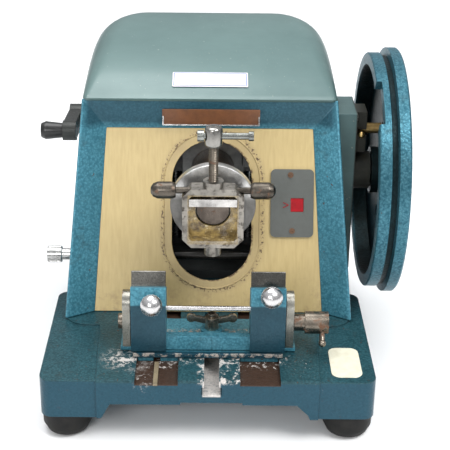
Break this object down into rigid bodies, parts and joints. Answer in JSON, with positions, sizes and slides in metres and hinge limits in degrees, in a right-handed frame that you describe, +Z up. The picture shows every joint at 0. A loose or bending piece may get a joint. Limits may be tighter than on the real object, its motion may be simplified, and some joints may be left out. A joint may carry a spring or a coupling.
{
  "type": "rotary microtome",
  "caption": "Rotary microtome with a large handwheel, a clamp on a rising arm, a sloping front plate, a knife holder on a slotted base and a feed crank.",
  "frame": {"origin": "on the bench under the middle of the base casting", "axes": "+Z up; the front of the machine, with the specimen clamp and the knife, faces -Y; the handwheel is on the +X side"},
  "size_m": [0.3254, 0.343, 0.2626],
  "materials": {
    "deck_paint": "dark teal hammered enamel",
    "hammered_blue": "blue hammered enamel",
    "cover_paint": "grey-green faded hammered enamel",
    "wheel_paint": "blue hammered enamel",
    "cheek_paint": "grey-teal enamel",
    "beige_enamel": "flat beige enamel",
    "brown_plate": "brown enamelled plate with a bright border",
    "grey_plate": "grey enamelled plate",
    "cream_label": "cream label, blank",
    "white_label": "white label, blank, blue border",
    "red_window": "red",
    "rubber": "black rubber",
    "black_plastic": "black moulded handle",
    "drum_white": "white numbered drum, numbers left out",
    "bright_steel": "ground steel",
    "worn_steel": "worn steel",
    "rusty_steel": "steel with brown rust",
    "screw_steel": "steel",
    "chrome": "polished chrome plate",
    "brass": "brass",
    "bronze": "cast bronze",
    "cast_iron": "grey primer on cast iron",
    "machined_iron": "machined cast iron",
    "dark_iron": "dark iron"
  },
  "bodies": {
    "machine": {"base_casting": "deck_paint", "rubber_feet": "rubber", "gib_strip": "worn_steel", "main_housing": "hammered_blue", "front_frame": "hammered_blue", "front_plate": "beige_enamel", "name_plate": "brown_plate", "base_label": "cream_label", "indicator_plate": "grey_plate", "indicator_screws": "screw_steel", "indicator_window": "red_window", "bearing_cheek": "cheek_paint", "bronze_bushes": "bronze", "inner_frame": "cast_iron", "guide_rods": "bright_steel", "indicator_bracket": "cast_iron", "cover_hinge": "worn_steel"},
    "cover": {"top_cover": "cover_paint", "cover_label": "white_label", "cover_leaf": "worn_steel"},
    "wheel": {"handwheel": "wheel_paint", "main_shaft": "bright_steel", "crank_disc": "cast_iron"},
    "wheel_handle": {"handle_stem": "bright_steel"},
    "wheel_grip": {"handle_grip": "black_plastic"},
    "wheel_lock": {"lock_plunger": "brass"},
    "carriage": {"carriage": "machined_iron"},
    "yoke_slider": {"yoke_slider": "bronze"},
    "arm": {"specimen_arm": "bright_steel", "arm_flange": "bright_steel"},
    "swivel": {"swivel_ring": "worn_steel"},
    "clamp": {"clamp_box": "worn_steel"},
    "jaw": {"clamp_jaw": "worn_steel"},
    "clamp_screw": {"clamp_screw": "rusty_steel"},
    "clamp_bar": {"clamp_bar": "bright_steel"},
    "left_side_screw": {"left_side_screw": "rusty_steel"},
    "right_side_screw": {"right_side_screw": "rusty_steel"},
    "knife_base": {"knife_base": "hammered_blue", "end_plates": "worn_steel", "t_bolt": "rusty_steel", "pivot_screw": "rusty_steel"},
    "wing_nut": {"wing_nut": "rusty_steel"},
    "knife_block": {"knife_block": "hammered_blue", "knife_rod": "chrome"},
    "tilt_bolt": {"tilt_bolt": "rusty_steel"},
    "left_plate": {"left_pressure_plate": "worn_steel"},
    "right_plate": {"right_pressure_plate": "worn_steel"},
    "left_clamp_screw": {"left_clamp_screw": "chrome"},
    "right_clamp_screw": {"right_clamp_screw": "chrome"},
    "feed_nut": {"feed_nut": "machined_iron"},
    "feed_screw": {"feed_screw": "bright_steel", "ratchet_wheel": "bronze"},
    "crank": {"crank_shaft": "bright_steel", "crank_arm": "dark_iron"},
    "crank_handle": {"crank_handle": "black_plastic"},
    "pawl_lever": {"pawl_lever": "worn_steel"},
    "pawl": {"pawl": "dark_iron"},
    "thickness": {"thickness_knob": "bright_steel"},
    "idler": {"idler_gear": "bronze"},
    "drum": {"number_drum": "drum_white"}
  },
  "joints": [
    {"name": "cover_hinge", "type": "hinge", "parent": "machine", "child": "cover", "pos_m": [0, 0.165, 0.207], "axis": [-1, 0, 0], "range_deg": [0, 100]},
    {"name": "wheel_turn", "type": "hinge", "parent": "machine", "child": "wheel", "pos_m": [0.12, 0.017, 0.1554], "axis": [1, 0, 0], "continuous": true},
    {"name": "handle_fold", "type": "hinge", "parent": "wheel", "child": "wheel_handle", "pos_m": [0.165, 0.102, 0.1554], "axis": [0, 0, 1], "range_deg": [0, 90]},
    {"name": "grip_spin", "type": "hinge", "parent": "wheel_handle", "child": "wheel_grip", "pos_m": [0.165, 0.06, 0.1554], "axis": [0, 1, 0], "continuous": true},
    {"name": "lock_slide", "type": "slide", "parent": "machine", "child": "wheel_lock", "axis": [1, 0, 0], "range_m": [0, 0.0055]},
    {"name": "carriage_slide", "type": "slide", "parent": "machine", "child": "carriage", "axis": [0, 0, 1], "range_m": [-0.044, 0]},
    {"name": "yoke_slide", "type": "slide", "parent": "carriage", "child": "yoke_slider", "axis": [0, 1, 0], "range_m": [-0.022, 0.022]},
    {"name": "arm_feed", "type": "slide", "parent": "carriage", "child": "arm", "axis": [0, -1, 0], "range_m": [0, 0.0131]},
    {"name": "head_swivel", "type": "hinge", "parent": "arm", "child": "swivel", "pos_m": [0.003, -0.091, 0.165], "axis": [0, 0, 1], "range_deg": [-5, 5]},
    {"name": "head_tilt", "type": "hinge", "parent": "swivel", "child": "clamp", "pos_m": [0.003, -0.091, 0.165], "axis": [1, 0, 0], "range_deg": [-5, 5]},
    {"name": "jaw_slide", "type": "slide", "parent": "clamp", "child": "jaw", "axis": [0, 0, -1], "range_m": [0, 0.0192]},
    {"name": "clamp_screw_turn", "type": "hinge", "parent": "jaw", "child": "clamp_screw", "pos_m": [0.003, -0.0985, 0.197], "axis": [0, 0, -1], "range_deg": [0, 5790]},
    {"name": "clamp_bar_slide", "type": "slide", "parent": "clamp_screw", "child": "clamp_bar", "axis": [1, 0, 0], "range_m": [-0.019, 0]},
    {"name": "left_side_screw_turn", "type": "hinge", "parent": "clamp", "child": "left_side_screw", "pos_m": [-0.03, -0.0985, 0.184], "axis": [1, 0, 0], "range_deg": [-90, 90]},
    {"name": "right_side_screw_turn", "type": "hinge", "parent": "clamp", "child": "right_side_screw", "pos_m": [0.036, -0.0985, 0.184], "axis": [1, 0, 0], "range_deg": [-90, 90]},
    {"name": "knife_slide", "type": "slide", "parent": "machine", "child": "knife_base", "axis": [0, -1, 0], "range_m": [0, 0.025]},
    {"name": "wing_nut_turn", "type": "hinge", "parent": "knife_base", "child": "wing_nut", "pos_m": [0.003, -0.11, 0.074], "axis": [0, 0, 1], "range_deg": [-45, 45]},
    {"name": "knife_tilt", "type": "hinge", "parent": "knife_base", "child": "knife_block", "pos_m": [0, -0.122, 0.081], "axis": [1, 0, 0], "range_deg": [-12, 0]},
    {"name": "tilt_bolt_turn", "type": "hinge", "parent": "knife_base", "child": "tilt_bolt", "pos_m": [0.07, -0.122, 0.081], "axis": [1, 0, 0], "range_deg": [-60, 60]},
    {"name": "left_plate_slide", "type": "slide", "parent": "knife_block", "child": "left_plate", "axis": [0, 0.9397, -0.342], "range_m": [0, 0.005]},
    {"name": "right_plate_slide", "type": "slide", "parent": "knife_block", "child": "right_plate", "axis": [0, 0.9397, -0.342], "range_m": [0, 0.005]},
    {"name": "left_clamp_turn", "type": "hinge", "parent": "left_plate", "child": "left_clamp_screw", "pos_m": [-0.04375, -0.13584, 0.10419], "axis": [0, 0.9397, -0.342], "range_deg": [0, 1450]},
    {"name": "right_clamp_turn", "type": "hinge", "parent": "right_plate", "child": "right_clamp_screw", "pos_m": [0.04875, -0.13351, 0.11059], "axis": [0, 0.9397, -0.342], "range_deg": [0, 1450]},
    {"name": "feed_nut_slide", "type": "slide", "parent": "machine", "child": "feed_nut", "axis": [0, -1, 0], "range_m": [0, 0.013]},
    {"name": "feed_screw_turn", "type": "hinge", "parent": "machine", "child": "feed_screw", "pos_m": [0.003, 0.12, 0.143], "axis": [0, 1, 0], "range_deg": [0, 4690]},
    {"name": "crank_turn", "type": "hinge", "parent": "machine", "child": "crank", "pos_m": [-0.06, 0.117, 0.167], "axis": [1, 0, 0], "range_deg": [0, 4690]},
    {"name": "crank_handle_spin", "type": "hinge", "parent": "crank", "child": "crank_handle", "pos_m": [-0.14, 0.059, 0.1735], "axis": [1, 0, 0], "continuous": true},
    {"name": "pawl_lever_turn", "type": "hinge", "parent": "machine", "child": "pawl_lever", "pos_m": [0.003, 0.136, 0.143], "axis": [0, 1, 0], "range_deg": [0, 18], "stiffness_Nm_per_rad": 0.2, "springref_deg": -28.65},
    {"name": "pawl_turn", "type": "hinge", "parent": "pawl_lever", "child": "pawl", "pos_m": [-0.02813, 0.132, 0.1648], "axis": [0, 1, 0], "range_deg": [-12, 0], "stiffness_Nm_per_rad": 0.02, "springref_deg": 17.19},
    {"name": "thickness_turn", "type": "hinge", "parent": "machine", "child": "thickness", "pos_m": [0, -0.02, 0.089], "axis": [1, 0, 0], "range_deg": [0, 330]},
    {"name": "idler_turn", "type": "hinge", "parent": "machine", "child": "idler", "pos_m": [0.088, -0.015, 0.11625], "axis": [1, 0, 0], "range_deg": [-330, 0]},
    {"name": "drum_turn", "type": "hinge", "parent": "machine", "child": "drum", "pos_m": [0.076, -0.01, 0.1435], "axis": [1, 0, 0], "range_deg": [0, 330]}
  ],
  "couplings": [
    {"joint": "arm_feed", "follows": "feed_nut_slide", "ratio": 1},
    {"joint": "crank_turn", "follows": "feed_nut_slide", "rad_per_m": 6283.2},
    {"joint": "feed_screw_turn", "follows": "feed_nut_slide", "rad_per_m": 6283.2},
    {"joint": "clamp_screw_turn", "follows": "jaw_slide", "rad_per_m": 5236},
    {"joint": "left_clamp_turn", "follows": "left_plate_slide", "rad_per_m": 5026.5},
    {"joint": "right_clamp_turn", "follows": "right_plate_slide", "rad_per_m": 5026.5},
    {"joint": "idler_turn", "follows": "thickness_turn", "ratio": -1},
    {"joint": "drum_turn", "follows": "thickness_turn", "ratio": 1}
  ]
}
